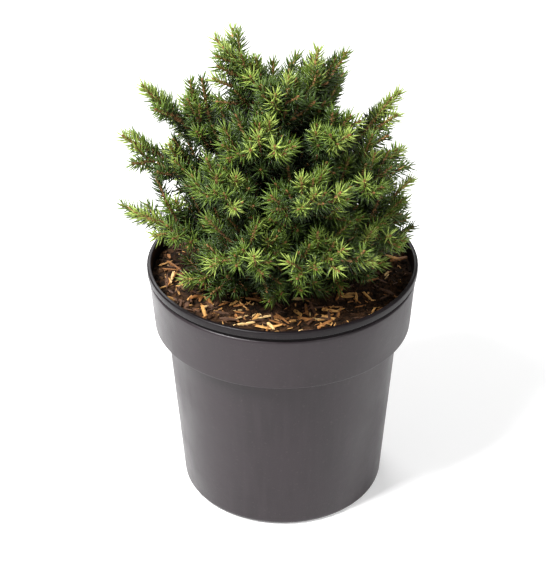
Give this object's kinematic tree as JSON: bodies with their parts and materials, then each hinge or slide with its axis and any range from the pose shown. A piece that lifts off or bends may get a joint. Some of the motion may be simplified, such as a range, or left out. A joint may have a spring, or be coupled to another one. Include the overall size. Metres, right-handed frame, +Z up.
{
  "type": "potted alberta spruce",
  "caption": "Dwarf globe-shaped conifer with short needle sprays, growing in a round dark nursery pot of peat strewn with wood chips.",
  "frame": {"origin": "centre of the pot's flat underside, on the surface that it stands on", "axes": "+Z up along the pot's axis; +X to the right and -Y towards the viewer, as in the picture"},
  "size_m": [0.2103, 0.1917, 0.3519],
  "materials": {
    "pot": "satin",
    "peat": "matte",
    "bark": "matte",
    "needles": "matte"
  },
  "bodies": {
    "root": {"bough_crest_1": "bark", "bough_crest_2": "bark", "bough_crest_3": "bark", "bough_crest_4": "bark", "bough_crest_5": "bark", "bough_shoulder_1": "bark", "bough_shoulder_2": "bark", "bough_shoulder_3": "bark", "bough_shoulder_4": "bark", "bough_shoulder_5": "bark", "bough_shoulder_6": "bark", "bough_shoulder_7": "bark", "bough_skirt_1": "bark", "bough_skirt_2": "bark", "bough_skirt_3": "bark", "bough_skirt_4": "bark", "bough_skirt_5": "bark", "bough_skirt_6": "bark", "bough_top_1": "bark", "bough_top_2": "bark", "bough_top_3": "bark", "bough_waist_1": "bark", "bough_waist_2": "bark", "bough_waist_3": "bark", "bough_waist_4": "bark", "bough_waist_5": "bark", "bough_waist_6": "bark", "bough_waist_7": "bark", "foliage_crest_1": "needles", "foliage_crest_2": "needles", "foliage_crest_3": "needles", "foliage_crest_4": "needles", "foliage_crest_5": "needles", "foliage_leader": "needles", "foliage_shoulder_1": "needles", "foliage_shoulder_2": "needles", "foliage_shoulder_3": "needles", "foliage_shoulder_4": "needles", "foliage_shoulder_5": "needles", "foliage_shoulder_6": "needles", "foliage_shoulder_7": "needles", "foliage_skirt_1": "needles", "foliage_skirt_2": "needles", "foliage_skirt_3": "needles", "foliage_skirt_4": "needles", "foliage_skirt_5": "needles", "foliage_skirt_6": "needles", "foliage_top_1": "needles", "foliage_top_2": "needles", "foliage_top_3": "needles", "foliage_waist_1": "needles", "foliage_waist_2": "needles", "foliage_waist_3": "needles", "foliage_waist_4": "needles", "foliage_waist_5": "needles", "foliage_waist_6": "needles", "foliage_waist_7": "needles", "pot": "pot", "soil": "peat", "trunk": "bark"}
  },
  "joints": []
}
